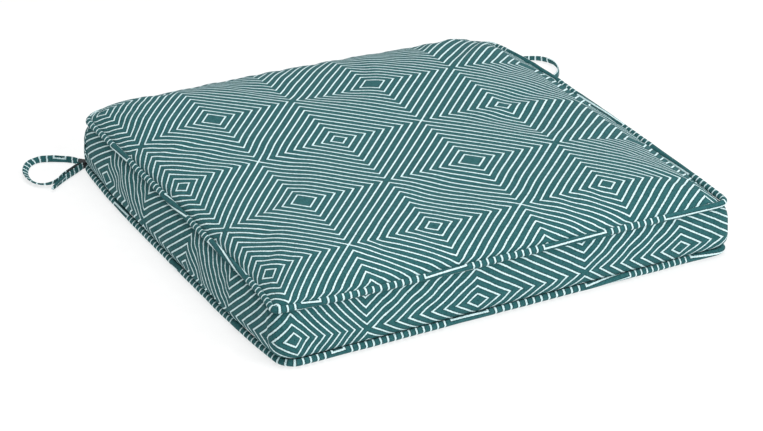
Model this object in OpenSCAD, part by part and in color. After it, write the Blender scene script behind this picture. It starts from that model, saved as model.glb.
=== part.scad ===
// Box-edge chair seat pad: a zipped, piped cover over a wadding-wrapped foam core,
// with a hook-and-loop tie at each back corner. The pad lies on its underside:
// origin at the middle of the underside, +Z up, front towards -Y.

/* [Pad] */
// Width and depth of the pad, measured along the middle of the piping
pad_size = 508; // [400:1:560]
// Height of the lower piped seam above the surface that the pad lies on
lower_seam_z = 5; // [4.5:0.5:8]
// Height of the upper piped seam
upper_seam_z = 60; // [50:1:70]
// How far the top panel swells above the upper seam
crown = 22; // [10:1:30]
// Radius of the piping's path round a corner
corner_r = 20; // [12:1:40]
// Thickness of the cover fabric
fabric_t = 0.9; // [0.6:0.1:1.2]

/* [Piping] */
// Outer diameter of the piping
piping_d = 7.5; // [6:0.5:9]
// Diameter of the filler cord inside the piping
piping_cord_d = 5.4; // [4:0.1:6]

/* [Filling] */
// Thickness of the foam slab
foam_t = 50.8; // [38:0.2:51]
// Thickness of the wadding band round the foam's edge
side_wadding_t = 5; // [3:0.5:8]

/* [Zip] */
// Length of the zip's chain along the back
zip_length = 420; // [250:1:440]
// Opening between the two back boxing strips that shows the chain
zip_gap = 8; // [7:0.5:12]

/* [Ties] */
// Width of a tie strap, which stands on its edge
strap_w = 7.6; // [6:0.2:10]
// Thickness of a folded and stitched tie strap
strap_t = 2; // [1.6:0.1:2.1]
// Length of the hook tape and of the loop tape
tape_l = 22; // [18:1:22]

/* [Hidden] */
$fn = 48;

teal = [0.27, 0.50, 0.51];
shaded_teal = [0.20, 0.40, 0.42];
cord_white = [0.90, 0.89, 0.85];
foam_cream = [0.93, 0.89, 0.74];
wadding_white = [0.95, 0.95, 0.94];
zip_grey = [0.25, 0.40, 0.42];
tape_black = [0.05, 0.05, 0.06];
zip_metal = [0.45, 0.47, 0.48];

gap = 0.3;                                    // running clearance between neighbours
half = pad_size / 2;                          // middle of the piping to the pad's middle
piping_r = piping_d / 2;
panel_half = half - piping_r - gap;           // edge of the top and bottom panels
boxing_low = lower_seam_z + piping_r + gap;   // lower edge of the boxing
boxing_high = upper_seam_z - piping_r - gap;  // upper edge of the boxing
boxing_out = half;                            // outer face of the boxing
boxing_in = boxing_out - fabric_t;
back_seam_y = half - corner_r;                // vertical seams of the back boxing
filling_half = boxing_in - 2.6;               // outer face of the side wadding
foam_half = filling_half - side_wadding_t - gap;
foam_low = (lower_seam_z + upper_seam_z - foam_t) / 2;
foam_high = foam_low + foam_t;
wadding_margin = 6;                           // wadding sheets stop this far inside the panels
wadding_share = 1 - wadding_margin / panel_half;
wadding_gap = 1.8;                            // the loft is free to move under the cover

// Swell of the top panel, and the flat part of the underside.
crown_power = 8;
crown_roundness = 0.6;
inner_round = 130;                            // extra corner radius of the inner contours
underside_flat = 0.86;                        // share of the half width that lies flat

rings = 9;
side_steps = 9;
arc_steps = 5;

zip_z = (lower_seam_z + upper_seam_z) / 2;    // height of the chain's middle
zip_slot = 1.2;                               // gap between the two rows of teeth
teeth_h = 2.1;                                // height of one row
teeth_t = 1.6;
tape_t = 0.5;
tape_w = 12;
tape_face = boxing_in - gap;                  // outer face of the zip tape
teeth_face = tape_face + teeth_t;
teeth_margin = 4;                             // the rows end this far inside the tapes
stop_l = 2.5;
slider_l = 11;
slider_h = 8;
slider_t = 0.84;                              // thickness of each slider plate
slider_face = teeth_face + gap;
slider_x = -zip_length / 2 + 12;              // the zip is closed with the slider here
lug_gap = 4.6;                                // inside length of the slider's lug
lug_t = 1;
lug_rise = 2.6;
lug_bar_t = 0.6;
pull_l = 24;
pull_w = 5;
pull_t = 0.9;
pull_axis_y = slider_face + slider_t + gap / 2 + pull_t / 2;

tape_thick = 1.2;                             // hook tape and loop tape, each
tape_h = 9;
strap_gap = 0.15;
strap_z = strap_w / 2 + 0.9;                  // middle of a strap above the surface
tape_z = tape_h / 2 + 0.2;
hook_offset = strap_t / 2 + strap_gap + tape_thick / 2;

// Routes of the straps, measured from the corner where the piping's sides would meet.
left_corner = [-half, half];
right_corner = [half, half];
// The left long strap goes out from the corner, round, and back to the short tab.
left_loop = [for (p = [
    [-3, 7], [-9, 16], [-18.5, 23.5], [-29.5, 31], [-41, 36], [-53, 32],
    [-61, 22], [-66, 10], [-67.5, -5], [-64, -18], [-55, -26], [-44, -25],
    [-31, -16], [-18.5, -8], [-6, 0]
]) left_corner + p];
left_tab_route = [for (p = [
    [-3.4, -4.1], [-15.9, -12.1], [-28.4, -20.1], [-42, -30], [-55, -41]
]) left_corner + p];
// The right long strap makes a wider loop beside the pad.
right_loop = [for (p = [
    [6, 5], [20, 10], [35, 14], [51, 16], [67, 14], [80, 7],
    [88, -5], [89, -19], [84, -33], [74, -46], [58, -52.5], [42, -46.5],
    [32, -32.2], [22, -17.9], [12, -3.6]
]) right_corner + p];
right_tab_route = [for (p = [
    [8, -6.4], [18, -20.7], [28, -35], [37.5, -48.5], [46.5, -61]
]) right_corner + p];

// ---- Contours: a square ring with round corners, as a list of points ----

function turned(p, quarter) =
    quarter == 0 ? p : turned([-p[1], p[0]], quarter - 1);

function quarter_ring(size, r) = concat(
    [for (i = [0:arc_steps]) let (a = 90 * i / arc_steps)
        [size - r + r * cos(a), size - r + r * sin(a)]],
    [for (j = [1:side_steps - 1]) [(1 - 2 * j / side_steps) * (size - r), size]]
);

function square_ring(size, r, z) =
    [for (q = [0:3]) for (p = quarter_ring(size, r)) let (t = turned(p, q)) [t[0], t[1], z]];

// Share of the half width at ring i: the rings crowd together near the edge.
function ring_share(i) = 1 - pow(1 - i / rings, 2.2);

function ring_radius(s, edge_r) = min(s * (edge_r + inner_round * (1 - s)), 0.9 * s * panel_half);

function crown_z(s) = crown * pow(1 - pow(s, crown_power), crown_roundness);

function underside_z(s) =
    let (t = max(0, (s - underside_flat) / (1 - underside_flat)))
    lower_seam_z * (1 - pow(1 - pow(t, 3), crown_roundness));

function contour(s, outer, z) =
    square_ring(s * outer, ring_radius(s, corner_r - piping_r), z);

// A closed solid from a list of rings of equal length, closed by a point at each end.
module ringed_solid(all_rings, first_point, last_point) {
    n = len(all_rings[0]);
    count = len(all_rings);
    points = concat([first_point], [for (ring = all_rings) for (p = ring) p], [last_point]);
    last = len(points) - 1;
    first_fan = [for (k = [0:n - 1]) [0, 1 + k, 1 + (k + 1) % n]];
    walls = [for (i = [0:count - 2]) for (k = [0:n - 1])
        let (a = 1 + i * n + k, b = 1 + i * n + (k + 1) % n) each [[a, a + n, b], [b, a + n, b + n]]];
    last_fan = [for (k = [0:n - 1])
        let (a = 1 + (count - 1) * n + k, b = 1 + (count - 1) * n + (k + 1) % n) [a, last, b]];
    polyhedron(points, concat(first_fan, walls, last_fan), convexity = 6);
}

// A sheet between a lower and an upper height function; both take the ring share.
module sheet_between(outer, low, high) {
    upper = [for (i = [rings:-1:1]) let (s = ring_share(i)) contour(s, outer, high(s))];
    lower = [for (i = [1:rings]) let (s = ring_share(i)) contour(s, outer, low(s))];
    ringed_solid(concat(lower, upper), [0, 0, low(0)], [0, 0, high(0)]);
}

// ---- Plain solids that follow the pad's square outline ----

module square_slab(size, r, low, high) {
    translate([0, 0, low])
        linear_extrude(high - low)
            union() {
                square([2 * size, 2 * (size - r)], center = true);
                square([2 * (size - r), 2 * size], center = true);
                for (x = [-1, 1], y = [-1, 1])
                    translate([x * (size - r), y * (size - r)])
                        circle(r);
            }
}

// A round bar bent into the pad's square outline.
module square_bar(size, r, bar_r, z) {
    translate([0, 0, z])
        for (q = [0:3])
            rotate(90 * q) {
                translate([size, -(size - r), 0])
                    rotate([-90, 0, 0])
                        cylinder(r = bar_r, h = 2 * (size - r));
                translate([size - r, size - r, 0])
                    rotate_extrude(angle = 90)
                        translate([r, 0])
                            circle(bar_r);
            }
}

module piping_cover(z) {
    difference() {
        square_bar(half, corner_r, piping_r, z);
        square_bar(half, corner_r, piping_cord_d / 2 + gap / 2, z);
    }
}

// ---- Cover ----

module top_panel() {
    color(teal)
        translate([0, 0, upper_seam_z])
            sheet_between(panel_half, function (s) crown_z(s) - fabric_t, function (s) crown_z(s));
}

module bottom_panel() {
    color(shaded_teal)
        sheet_between(panel_half, function (s) underside_z(s), function (s) underside_z(s) + fabric_t);
}

// A wall of the boxing all the way round, between two heights.
module boxing_wall(low, high) {
    difference() {
        square_slab(boxing_out, corner_r, low, high);
        square_slab(boxing_in, corner_r - fabric_t, low - 1, high + 1);
    }
}

// Everything behind the vertical seams of the back boxing.
module behind(y) {
    translate([-pad_size, y, 0])
        cube([2 * pad_size, pad_size, 2 * upper_seam_z]);
}

// One strip runs along the left side, the front and the right side.
module boxing_strip() {
    color(teal)
        difference() {
            boxing_wall(boxing_low, boxing_high);
            behind(back_seam_y - gap / 2);
        }
}

// The back boxing is two strips, because the zip runs between them.
module back_boxing(low, high) {
    color(shaded_teal)
        intersection() {
            boxing_wall(low, high);
            behind(back_seam_y + gap / 2);
        }
}

module back_boxing_upper() {
    back_boxing(zip_z + zip_gap / 2, boxing_high);
}

module back_boxing_lower() {
    back_boxing(boxing_low, zip_z - zip_gap / 2);
}

module top_welt_cover() {
    color(teal) piping_cover(upper_seam_z);
}

module top_welt_cord() {
    color(cord_white) square_bar(half, corner_r, piping_cord_d / 2, upper_seam_z);
}

module bottom_welt_cover() {
    color(teal) piping_cover(lower_seam_z);
}

module bottom_welt_cord() {
    color(cord_white) square_bar(half, corner_r, piping_cord_d / 2, lower_seam_z);
}

// ---- Filling ----

module foam_core() {
    color(foam_cream) square_slab(foam_half, corner_r - side_wadding_t, foam_low, foam_high);
}

module wadding_top() {
    low = foam_high + gap - upper_seam_z;
    color(wadding_white)
        translate([0, 0, upper_seam_z])
            sheet_between(
                wadding_share * panel_half,
                function (s) low,
                function (s) crown_z(s * wadding_share) - fabric_t - wadding_gap
            );
}

module wadding_bottom() {
    color(wadding_white)
        sheet_between(
            wadding_share * panel_half,
            function (s) underside_z(s * wadding_share) + fabric_t + wadding_gap / 2,
            function (s) foam_low - gap
        );
}

module wadding_side_band() {
    color(wadding_white)
        difference() {
            square_slab(filling_half, corner_r - 2, foam_low + 2, foam_high - 2);
            square_slab(foam_half + gap, corner_r - side_wadding_t, foam_low, foam_high);
        }
}

// ---- Zip: the chain runs along the back, with its face towards +Y ----

// The lower edge of one row of height h: the rows lie on both sides of the slot.
function row_low(side, h) = zip_z + (side > 0 ? zip_slot / 2 : -zip_slot / 2 - h);

module zip_tape(side) {
    color(zip_grey)
        translate([-zip_length / 2, tape_face - tape_t, row_low(side, tape_w)])
            cube([zip_length, tape_t, tape_w]);
}

module zip_teeth(side) {
    color(zip_grey)
        translate([-zip_length / 2 + teeth_margin, tape_face, row_low(side, teeth_h)])
            cube([zip_length - 2 * teeth_margin, teeth_t, teeth_h]);
}

module zip_tape_upper() {
    zip_tape(1);
}

module zip_tape_lower() {
    zip_tape(-1);
}

module zip_teeth_upper() {
    zip_teeth(1);
}

module zip_teeth_lower() {
    zip_teeth(-1);
}

// A small clamp closes each row at the end where the slider parks.
module zip_top_stops() {
    color(zip_metal)
        for (side = [-1, 1])
            translate([-zip_length / 2 + 1, tape_face, row_low(side, teeth_h)])
                cube([stop_l, teeth_t, teeth_h]);
}

// One wider clamp joins both rows at the other end.
module zip_bottom_stop() {
    stop_h = zip_slot + 2 * teeth_h;
    color(zip_metal)
        translate([zip_length / 2 - 1 - stop_l, tape_face, zip_z - stop_h / 2])
            cube([stop_l, teeth_t, stop_h]);
}

// Two plates joined by a thin post that passes between the rows, with a lug for the pull.
module zip_slider() {
    inner_face = tape_face - tape_t - gap;
    post_t = zip_slot - 2 * gap;
    post_l = 2.5;
    bite = 0.2;
    color(zip_metal)
        translate([slider_x, 0, zip_z]) {
            for (y = [inner_face - slider_t, slider_face])
                translate([-slider_l / 2, y, -slider_h / 2])
                    cube([slider_l, slider_t, slider_h]);
            translate([slider_l / 2 - post_l - 0.5, inner_face - bite, -post_t / 2])
                cube([post_l, slider_face - inner_face + 2 * bite, post_t]);
            for (side = [-1, 1])
                translate([side * (lug_gap + lug_t) / 2 - lug_t / 2, slider_face + bite, -lug_t / 2])
                    cube([lug_t, lug_rise - bite, lug_t]);
            translate([-lug_gap / 2 - lug_t, slider_face + lug_rise - lug_bar_t, -lug_t / 2])
                cube([lug_gap + 2 * lug_t, lug_bar_t, lug_t]);
        }
}

// A flat tab with an eye round the lug; it turns about the round bar at its end.
module zip_pull() {
    eye_l = 4.3;
    eye_w = 2.2;
    hole_d = 2.4;
    color(zip_metal)
        translate([slider_x, pull_axis_y, zip_z])
            rotate([-90, 0, 0]) {
                translate([0, -pull_w / 2, 0])
                    rotate([-90, 0, 0])
                        cylinder(r = pull_t / 2, h = pull_w);
                translate([0, 0, -pull_t / 2])
                    linear_extrude(pull_t)
                        difference() {
                            union() {
                                translate([0, -pull_w / 2])
                                    square([pull_l - pull_w / 2, pull_w]);
                                translate([pull_l - pull_w / 2, 0])
                                    circle(pull_w / 2);
                            }
                            translate([-pull_t, -eye_w / 2])
                                square([eye_l + pull_t, eye_w]);
                            translate([pull_l - pull_w / 2, 0])
                                circle(hole_d / 2);
                        }
            }
}

// ---- Ties: flat straps that lie on their edge on the surface ----

function direction(route, i) =
    let (a = route[max(0, i - 1)], b = route[min(len(route) - 1, i + 1)])
    (b - a) / norm(b - a);

function strap_ring(route, i, w) =
    let (d = direction(route, i), side = [-d[1], d[0]])
    [for (k = [0:7]) let (a = 22.5 + 45 * k, flat = cos(a) / cos(22.5), tall = sin(a) / cos(22.5))
        [route[i][0] + side[0] * flat * strap_t / 2, route[i][1] + side[1] * flat * strap_t / 2,
            strap_z + tall * w / 2]];

// A strap that follows a route, with a pointed or a square end.
module strap(route, pointed) {
    last = len(route) - 1;
    solid_rings = [for (i = [last:-1:0]) strap_ring(route, i, pointed && i == last ? strap_w * 0.35 : strap_w)];
    start = [route[0][0], route[0][1], strap_z];
    end = [route[last][0], route[last][1], strap_z];
    ringed_solid(solid_rings, end, start);
}

// A flat piece of tape beside a strap: offset sideways from the stretch between two points.
module tape_beside(a, b, offset) {
    d = (b - a) / norm(b - a);
    middle = (a + b) / 2 + offset * [-d[1], d[0]];
    color(tape_black)
        translate([middle[0], middle[1], tape_z])
            rotate(atan2(d[1], d[0]))
                cube([tape_l, tape_thick, tape_h], center = true);
}

module left_long_strap() {
    color(teal) strap(left_loop, false);
}

module left_tab() {
    color(teal) strap(left_tab_route, true);
}

module left_hook_tape() {
    tape_beside(left_tab_route[0], left_tab_route[2], -hook_offset);
}

module left_loop_tape() {
    tape_beside(left_loop[12], left_loop[14], -hook_offset);
}

module right_long_strap() {
    color(teal) strap(right_loop, false);
}

module right_tab() {
    color(teal) strap(right_tab_route, true);
}

module right_hook_tape() {
    tape_beside(right_tab_route[0], right_tab_route[2], hook_offset);
}

module right_loop_tape() {
    tape_beside(right_loop[12], right_loop[14], hook_offset);
}

top_panel();
bottom_panel();
boxing_strip();
back_boxing_upper();
back_boxing_lower();
top_welt_cover();
top_welt_cord();
bottom_welt_cover();
bottom_welt_cord();
foam_core();
wadding_top();
wadding_bottom();
wadding_side_band();
zip_tape_upper();
zip_tape_lower();
zip_teeth_upper();
zip_teeth_lower();
zip_top_stops();
zip_bottom_stop();
zip_slider();
zip_pull();
left_long_strap();
left_tab();
left_hook_tape();
left_loop_tape();
right_long_strap();
right_tab();
right_hook_tape();
right_loop_tape();
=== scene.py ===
"""Chair seat pad: a piped box-edge cushion in a woven diamond fabric, with its zip and two corner ties."""

import math

import bpy
import numpy as np
from mathutils import Matrix, Vector, noise


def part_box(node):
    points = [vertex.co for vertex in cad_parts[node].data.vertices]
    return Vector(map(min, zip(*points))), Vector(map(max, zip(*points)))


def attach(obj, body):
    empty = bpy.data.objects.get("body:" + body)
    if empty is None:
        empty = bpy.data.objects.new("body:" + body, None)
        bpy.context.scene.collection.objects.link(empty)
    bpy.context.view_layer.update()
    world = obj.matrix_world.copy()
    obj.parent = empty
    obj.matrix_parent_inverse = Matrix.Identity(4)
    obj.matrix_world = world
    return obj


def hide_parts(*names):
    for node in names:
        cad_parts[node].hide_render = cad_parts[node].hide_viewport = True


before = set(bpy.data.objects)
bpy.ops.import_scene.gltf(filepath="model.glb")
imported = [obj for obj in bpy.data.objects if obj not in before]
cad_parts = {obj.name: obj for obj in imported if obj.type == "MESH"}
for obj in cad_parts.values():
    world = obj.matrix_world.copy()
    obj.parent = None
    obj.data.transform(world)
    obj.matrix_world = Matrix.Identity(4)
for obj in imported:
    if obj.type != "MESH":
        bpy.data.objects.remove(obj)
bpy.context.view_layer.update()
MM = 0.001

# ---- Sizes read from the frame, in metres ----

welt_low, welt_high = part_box("top_welt_cover")
base_low, base_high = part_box("bottom_welt_cover")
PIPING_R = (welt_high.z - welt_low.z) / 2
TOP_SEAM = (welt_high.z + welt_low.z) / 2
BOTTOM_SEAM = (base_high.z + base_low.z) / 2
HALF = welt_high.x - PIPING_R
MIDDLE = (TOP_SEAM + BOTTOM_SEAM) / 2
BACK_SEAM_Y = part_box("boxing_strip")[1].y
ZIP_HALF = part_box("zip_tape_upper")[1].x
FABRIC_T = 0.9 * MM
SLOT_CLOSES_OVER = 4 * MM  # beyond the ends of the zip

# ---- How the stuffed pad differs from its plain solid ----

# Drifts of the two seams at the front left, front right, back left and back right corners.
TOP_LIFT = np.array([0.2, -0.6, 3.5, 1.7]) * MM
TOP_DX = np.array([-0.5, 2.5, 2.3, -1.0]) * MM
TOP_DY = np.array([2.9, -3.5, 1.6, -0.9]) * MM
BOTTOM_DX = np.array([-2.0, 4.0, 0.7, -0.7]) * MM
BOTTOM_DY = np.array([-5.0, -4.0, 0.0, 0.0]) * MM
# Radii of the corners, in the same order.
TOP_CORNER_R = np.array([6, 11, 22, 20]) * MM
MIDDLE_CORNER_R = np.array([24, 20, 20, 22]) * MM
BOTTOM_CORNER_R = np.array([16, 14, 18, 18]) * MM
LEFT_BOW = 9 * MM  # the left lower seam bows outwards between its corners
RIGHT_BOW = 3 * MM  # the right upper seam too
BOW_POWER = 6
CORNER_PULL = (-6 * MM, 7 * MM)  # the front left top corner, where the piping turns tightly
CORNER_PULL_POWER = 12
DROOP = 16 * MM  # the back right corner is the soft one
DROOP_LEFT = 3 * MM
DROOP_POWER = 1.7  # how fast each droop grows towards its corner
DROOP_LEFT_POWER = 12
DROOP_BACK_POWER = 7
CROWN = 24.1 * MM
CROWN_POWER = 9.5
CROWN_ROUND = 0.57
CROWN_ROUND_RIGHT = 0.8
BULGE_FRONT = 4.2 * MM
BULGE_LEFT = 8 * MM
BULGE_RIGHT = 4.6 * MM
BULGE_BACK = 0.6 * MM
BULGE_CORNER = 3 * MM  # added to that at the corners
BULGE_LEFT_EASED = 0.5  # share of the left bulge that is lost towards the back
FULL_ABOVE, FULL_BELOW = 2.4, 4  # how square the bulge is, above and below its middle
FULL_ROUND = 0.8
TUCK = 0.3 * MM  # the panels' edges lie this far inside the piping
MERGE_IN, MERGE_UP = 1.2 * MM, 2.4 * MM  # where the top panel runs smoothly onto its piping
CREASE_DEPTH = 2 * MM  # on the right the piping stands clear of the panel
CREASE_POWER = 20
GROOVE = 1.2 * MM  # the boxing's edges lie this far behind its middle
BACK_GROOVE = 0.6 * MM  # less at the back, where the slider runs
UNDERSIDE_FLAT = 0.86  # share of the half width that lies flat
UNDERSIDE_Z = 0.3 * MM  # the lowest that the cover lies
UNDERSIDE_RISE = 0.7 * MM

# ---- The woven diamonds: lines at every whole step from a diamond's middle ----

HALF_PERIOD_X = 8.85  # steps from one kind of diamond to the other, along x
HALF_PERIOD_Y = 9.35
FIRST_LINE = 0.85
THREAD_PITCH = 0.62 * MM
TOP_STEP_X = 10.94 * MM
TOP_STEP_Y = 11.64 * MM
LAY_SIZE = 250 * MM  # the unevenness of the top's weave is given at this distance
BOXING_STEP = 8.6 * MM
# Every half repeat of the boxing's diamonds: how far it is round the pad from the front's
# middle, and how high the diamonds' middle runs there. Even ones are the small diamonds.
BOXING_REPEATS = [
    (-900, 25), (-790, 26), (-670, 26.4), (-568, 21), (-460, 19), (-360, 17.5), (-241, 30),
    (-165, 23.5), (-42, 22.6), (80, 23), (193, 22.9), (314, 24), (435, 25), (550, 25), (665, 24),
    (780, 24), (900, 24),
]
BACK_STEP = 12.4 * MM  # along the back's own two strips, where the diamonds are long
BACK_CENTRE_Z = 24 * MM
# Where the two kinds of diamond have their middle lines on the piping's bias strip: how far
# round the pad from the front's middle. The strip was pulled unevenly as it was sewn on.
TOP_PIPING_TURNS = (
    (-668, -533, -416, -233, -97, 39, 182),
    (-628, -474, -329, -213, -51, 109, 250),
)
BOTTOM_PIPING_TURNS = (
    (-207, -74, 85, 211),
    (-193, -31, 134, 255),
)
TURNS_BEYOND = 8  # evenly spaced ones that follow at each end


# ---- Materials ----

class Finish:
    """A material under construction; every method adds a node and returns its output."""

    def __init__(self, name, roughness=0.8, **settings):
        self.material = bpy.data.materials.new(name)
        self.material.use_nodes = True
        self.tree = self.material.node_tree
        self.shader = self.tree.nodes["Principled BSDF"]
        self.shader.inputs["Roughness"].default_value = roughness
        for socket, value in settings.items():
            self.shader.inputs[socket.replace("_", " ")].default_value = value

    def put(self, node, socket, value):
        if isinstance(value, bpy.types.NodeSocket):
            self.tree.links.new(value, node.inputs[socket])
        else:
            node.inputs[socket].default_value = value

    def math(self, operation, *values):
        node = self.tree.nodes.new("ShaderNodeMath")
        node.operation = operation
        for i, value in enumerate(values):
            self.put(node, i, value)
        return node.outputs[0]

    def layer(self, name):
        node = self.tree.nodes.new("ShaderNodeUVMap")
        node.uv_map = name
        return node.outputs[0]

    def place(self):
        return self.tree.nodes.new("ShaderNodeTexCoord").outputs["Object"]

    def split(self, vector):
        node = self.tree.nodes.new("ShaderNodeSeparateXYZ")
        self.put(node, 0, vector)
        return node.outputs[0], node.outputs[1], node.outputs[2]

    def scaled(self, vector, x, y, z=0.0):
        node = self.tree.nodes.new("ShaderNodeVectorMath")
        node.operation = "MULTIPLY"
        self.put(node, 0, vector)
        node.inputs[1].default_value = (x, y, z)
        return node.outputs[0]

    def noise(self, vector, scale=1.0, detail=2.0, roughness=0.5):
        node = self.tree.nodes.new("ShaderNodeTexNoise")
        self.put(node, "Vector", vector)
        node.inputs["Scale"].default_value = scale
        node.inputs["Detail"].default_value = detail
        node.inputs["Roughness"].default_value = roughness
        return node.outputs[0]

    def cells(self, vector, scale):
        node = self.tree.nodes.new("ShaderNodeTexVoronoi")
        self.put(node, "Vector", vector)
        node.inputs["Scale"].default_value = scale
        return node.outputs["Distance"]

    def step(self, value, low, high, start=0.0, end=1.0):
        node = self.tree.nodes.new("ShaderNodeMapRange")
        node.interpolation_type = "SMOOTHSTEP"
        self.put(node, "Value", value)
        for socket, number in zip(("From Min", "From Max", "To Min", "To Max"), (low, high, start, end)):
            node.inputs[socket].default_value = number
        return node.outputs[0]

    def mix(self, factor, a, b):
        node = self.tree.nodes.new("ShaderNodeMix")
        node.data_type = "RGBA"
        self.put(node, 0, factor)
        for socket, colour in ((6, a), (7, b)):
            self.put(node, socket, colour if isinstance(colour, bpy.types.NodeSocket) else (*colour, 1))
        return node.outputs[2]

    def shade(self, field, low, high, dark, light):
        """A colour that runs from one to the other as the field rises."""
        return self.mix(self.step(field, low, high), srgb(*dark), srgb(*light))

    def colour(self, value):
        self.put(self.shader, "Base Color", value)

    def rough(self, value):
        self.put(self.shader, "Roughness", value)

    def bump(self, height, distance, strength=1.0):
        node = self.tree.nodes.new("ShaderNodeBump")
        node.inputs["Strength"].default_value = strength
        node.inputs["Distance"].default_value = distance
        self.put(node, "Height", height)
        self.put(self.shader, "Normal", node.outputs[0])


def srgb(*channels):
    """A colour given as 0 to 255 values, as the linear values that a shader takes."""
    return tuple(c / 255 / 12.92 if c <= 10 else ((c / 255 + 0.055) / 1.055) ** 2.4 for c in channels)


def woven_threads(finish, weave, pitch):
    """Uneven threads both ways, as a brightness about 0.5, and the bumps where they cross."""
    warp = finish.noise(finish.scaled(weave, 1 / pitch, 0.08 / pitch), detail=1.0)
    weft = finish.noise(finish.scaled(weave, 0.08 / pitch, 1 / pitch), detail=1.0)
    x, y, _ = finish.split(weave)
    across = finish.math("SINE", finish.math("MULTIPLY", x, math.pi / pitch))
    along = finish.math("SINE", finish.math("MULTIPLY", y, math.pi / pitch))
    crossing = finish.math("ABSOLUTE", finish.math("MULTIPLY", across, along))
    return finish.math("MULTIPLY", finish.math("ADD", warp, weft), 0.5), crossing


def diamond_fabric():
    """The pad's fabric: nested diamonds in pale floats on a heathered teal ground."""
    f = Finish("diamond_fabric", roughness=0.86, Sheen_Weight=0.03, Sheen_Roughness=0.5,
               Specular_IOR_Level=0.12)
    weave = f.layer("weave")
    x, y, _ = f.split(f.layer("motif"))
    threads, crossing = woven_threads(f, weave, THREAD_PITCH)
    ragged = f.math("SUBTRACT", f.noise(weave, scale=700, detail=3), 0.5)
    steps = f.math("ADD", f.math("PINGPONG", x, HALF_PERIOD_X), f.math("PINGPONG", y, HALF_PERIOD_Y))
    phase = f.math("FRACT", f.math("ADD", steps, 0.5 - FIRST_LINE))
    from_line = f.math("ABSOLUTE", f.math("SUBTRACT", phase, 0.5))
    from_line = f.math("ADD", from_line, f.math("MULTIPLY", ragged, 0.15))
    last = HALF_PERIOD_X + HALF_PERIOD_Y - FIRST_LINE
    inside_last = f.step(steps, last - 0.01, last + 0.01, 1, 0)
    line = f.math("MULTIPLY", f.step(from_line, 0.095, 0.15, 1, 0), inside_last)
    # Painted shade: a dark band on the ground along each side of the pale lines, where the raised floats
    # would shade it.
    shade_beside_lines = f.math("MULTIPLY", f.step(from_line, 0.16, 0.30, 1, 0), inside_last)
    ground = f.shade(threads, 0.36, 0.64, (33, 83, 86), (57, 110, 113))
    patches = f.noise(weave, scale=22, detail=3)
    ground = f.mix(f.step(patches, 0.3, 0.7, 0, 0.16), ground, srgb(46, 104, 105))
    # The painted shade beside the lines darkens the ground towards this dark teal.
    ground = f.mix(f.math("MULTIPLY", shade_beside_lines, 0.8), ground, srgb(14, 50, 55))
    floats = f.shade(threads, 0.38, 0.56, (182, 216, 219), (226, 250, 252))
    f.colour(f.mix(line, ground, floats))
    f.rough(f.step(threads, 0.3, 0.7, 0.92, 0.74))
    height = f.math("ADD", f.math("MULTIPLY", crossing, 0.45), f.math("MULTIPLY", line, 0.8))
    f.bump(height, 0.22 * MM, 0.7)
    return f.material


def lined_fabric():
    """The plain side of the fabric, seen inside the cover."""
    f = Finish("fabric_reverse", roughness=0.9, Specular_IOR_Level=0.2)
    threads, crossing = woven_threads(f, f.place(), THREAD_PITCH)
    f.colour(f.shade(threads, 0.35, 0.65, (150, 178, 178), (96, 146, 150)))
    f.bump(crossing, 0.2 * MM, 0.6)
    return f.material


def tape_fabric():
    """The zip's tape: a tight herringbone in teal polyester."""
    f = Finish("zip_tape", roughness=0.7, Sheen_Weight=0.1, Specular_IOR_Level=0.35)
    place = f.place()
    x, _, z = f.split(place)
    slant = f.math("PINGPONG", z, 2.2 * MM)
    rib = f.math("SINE", f.math("MULTIPLY", f.math("ADD", x, slant), 2 * math.pi / (0.7 * MM)))
    fuzz = f.noise(f.scaled(place, 900, 900, 260), detail=3)
    tone = f.math("ADD", f.math("MULTIPLY", rib, 0.2), fuzz)
    f.colour(f.shade(tone, 0.3, 0.75, (42, 84, 90), (78, 126, 132)))
    f.bump(f.math("ADD", rib, fuzz), 0.12 * MM, 0.7)
    return f.material


def nylon():
    f = Finish("zip_nylon", roughness=0.36, Specular_IOR_Level=0.5)
    fuzz = f.noise(f.place(), scale=1500, detail=2)
    f.colour(f.shade(fuzz, 0.35, 0.65, (58, 98, 104), (74, 116, 122)))
    f.rough(f.step(fuzz, 0.3, 0.7, 0.28, 0.46))
    f.bump(fuzz, 0.03 * MM, 0.5)
    return f.material


def worn_metal():
    """Zinc hardware with a brushed, slightly darkened finish."""
    f = Finish("zip_zinc", roughness=0.32, Metallic=1.0)
    place = f.place()
    grain = f.noise(f.scaled(place, 240, 240, 3200), detail=3)
    stain = f.noise(place, scale=420, detail=4)
    f.colour(f.shade(stain, 0.4, 0.68, (186, 189, 190), (120, 124, 127)))
    f.rough(f.step(f.math("ADD", grain, stain), 0.7, 1.3, 0.22, 0.48))
    f.bump(grain, 0.02 * MM, 0.5)
    return f.material


def cotton_cord():
    f = Finish("cotton_cord", roughness=0.92, Sheen_Weight=0.2, Specular_IOR_Level=0.2)
    fibre = f.noise(f.scaled(f.layer("weave"), 300, 4200), detail=4, roughness=0.65)
    f.colour(f.shade(fibre, 0.35, 0.65, (206, 200, 184), (240, 236, 224)))
    f.bump(fibre, 0.25 * MM, 0.8)
    return f.material


def cut_foam():
    """Polyurethane foam: a fine open cell, pale cream, a little yellowed in places."""
    f = Finish("cut_foam", roughness=0.95, Specular_IOR_Level=0.15, Subsurface_Weight=0.05)
    place = f.place()
    cell = f.cells(place, 900)
    pore = f.cells(place, 330)
    age = f.noise(place, scale=9, detail=4)
    tone = f.shade(age, 0.35, 0.7, (240, 228, 188), (228, 210, 160))
    f.colour(f.mix(f.step(pore, 0.05, 0.3, 0.5, 0), tone, srgb(196, 176, 128)))
    f.bump(f.math("ADD", cell, f.math("MULTIPLY", pore, 1.4)), 0.6 * MM, 0.8)
    return f.material


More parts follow.
